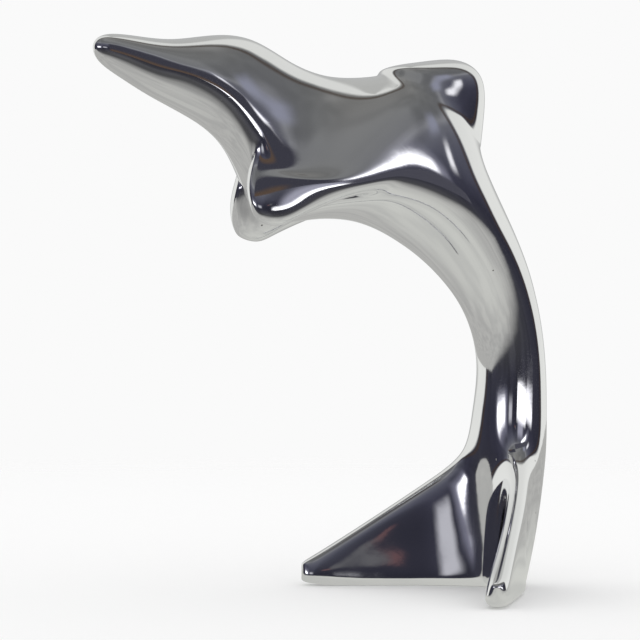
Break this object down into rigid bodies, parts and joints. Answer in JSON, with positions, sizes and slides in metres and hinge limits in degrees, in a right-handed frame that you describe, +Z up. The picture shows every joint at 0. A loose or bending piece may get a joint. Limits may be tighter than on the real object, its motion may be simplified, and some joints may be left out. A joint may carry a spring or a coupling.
{
  "type": "dolphin sculpture",
  "caption": "Small polished cast aluminium dolphin leaping in a tall arc, standing on its two spread tail flukes.",
  "frame": {"origin": "centre of the base of the bounding box, on the surface that the flukes stand on", "axes": "+Z up, -X the way the head points, and XZ parallel to the middle plane of the body; the tail is turned a little towards -Y"},
  "size_m": [0.175, 0.0974, 0.1979],
  "materials": {
    "polished_aluminium": "hand polished to a mirror, with fine buffing scratches and a few small casting pits"
  },
  "bodies": {
    "root": {"dolphin": "polished_aluminium"}
  },
  "joints": []
}
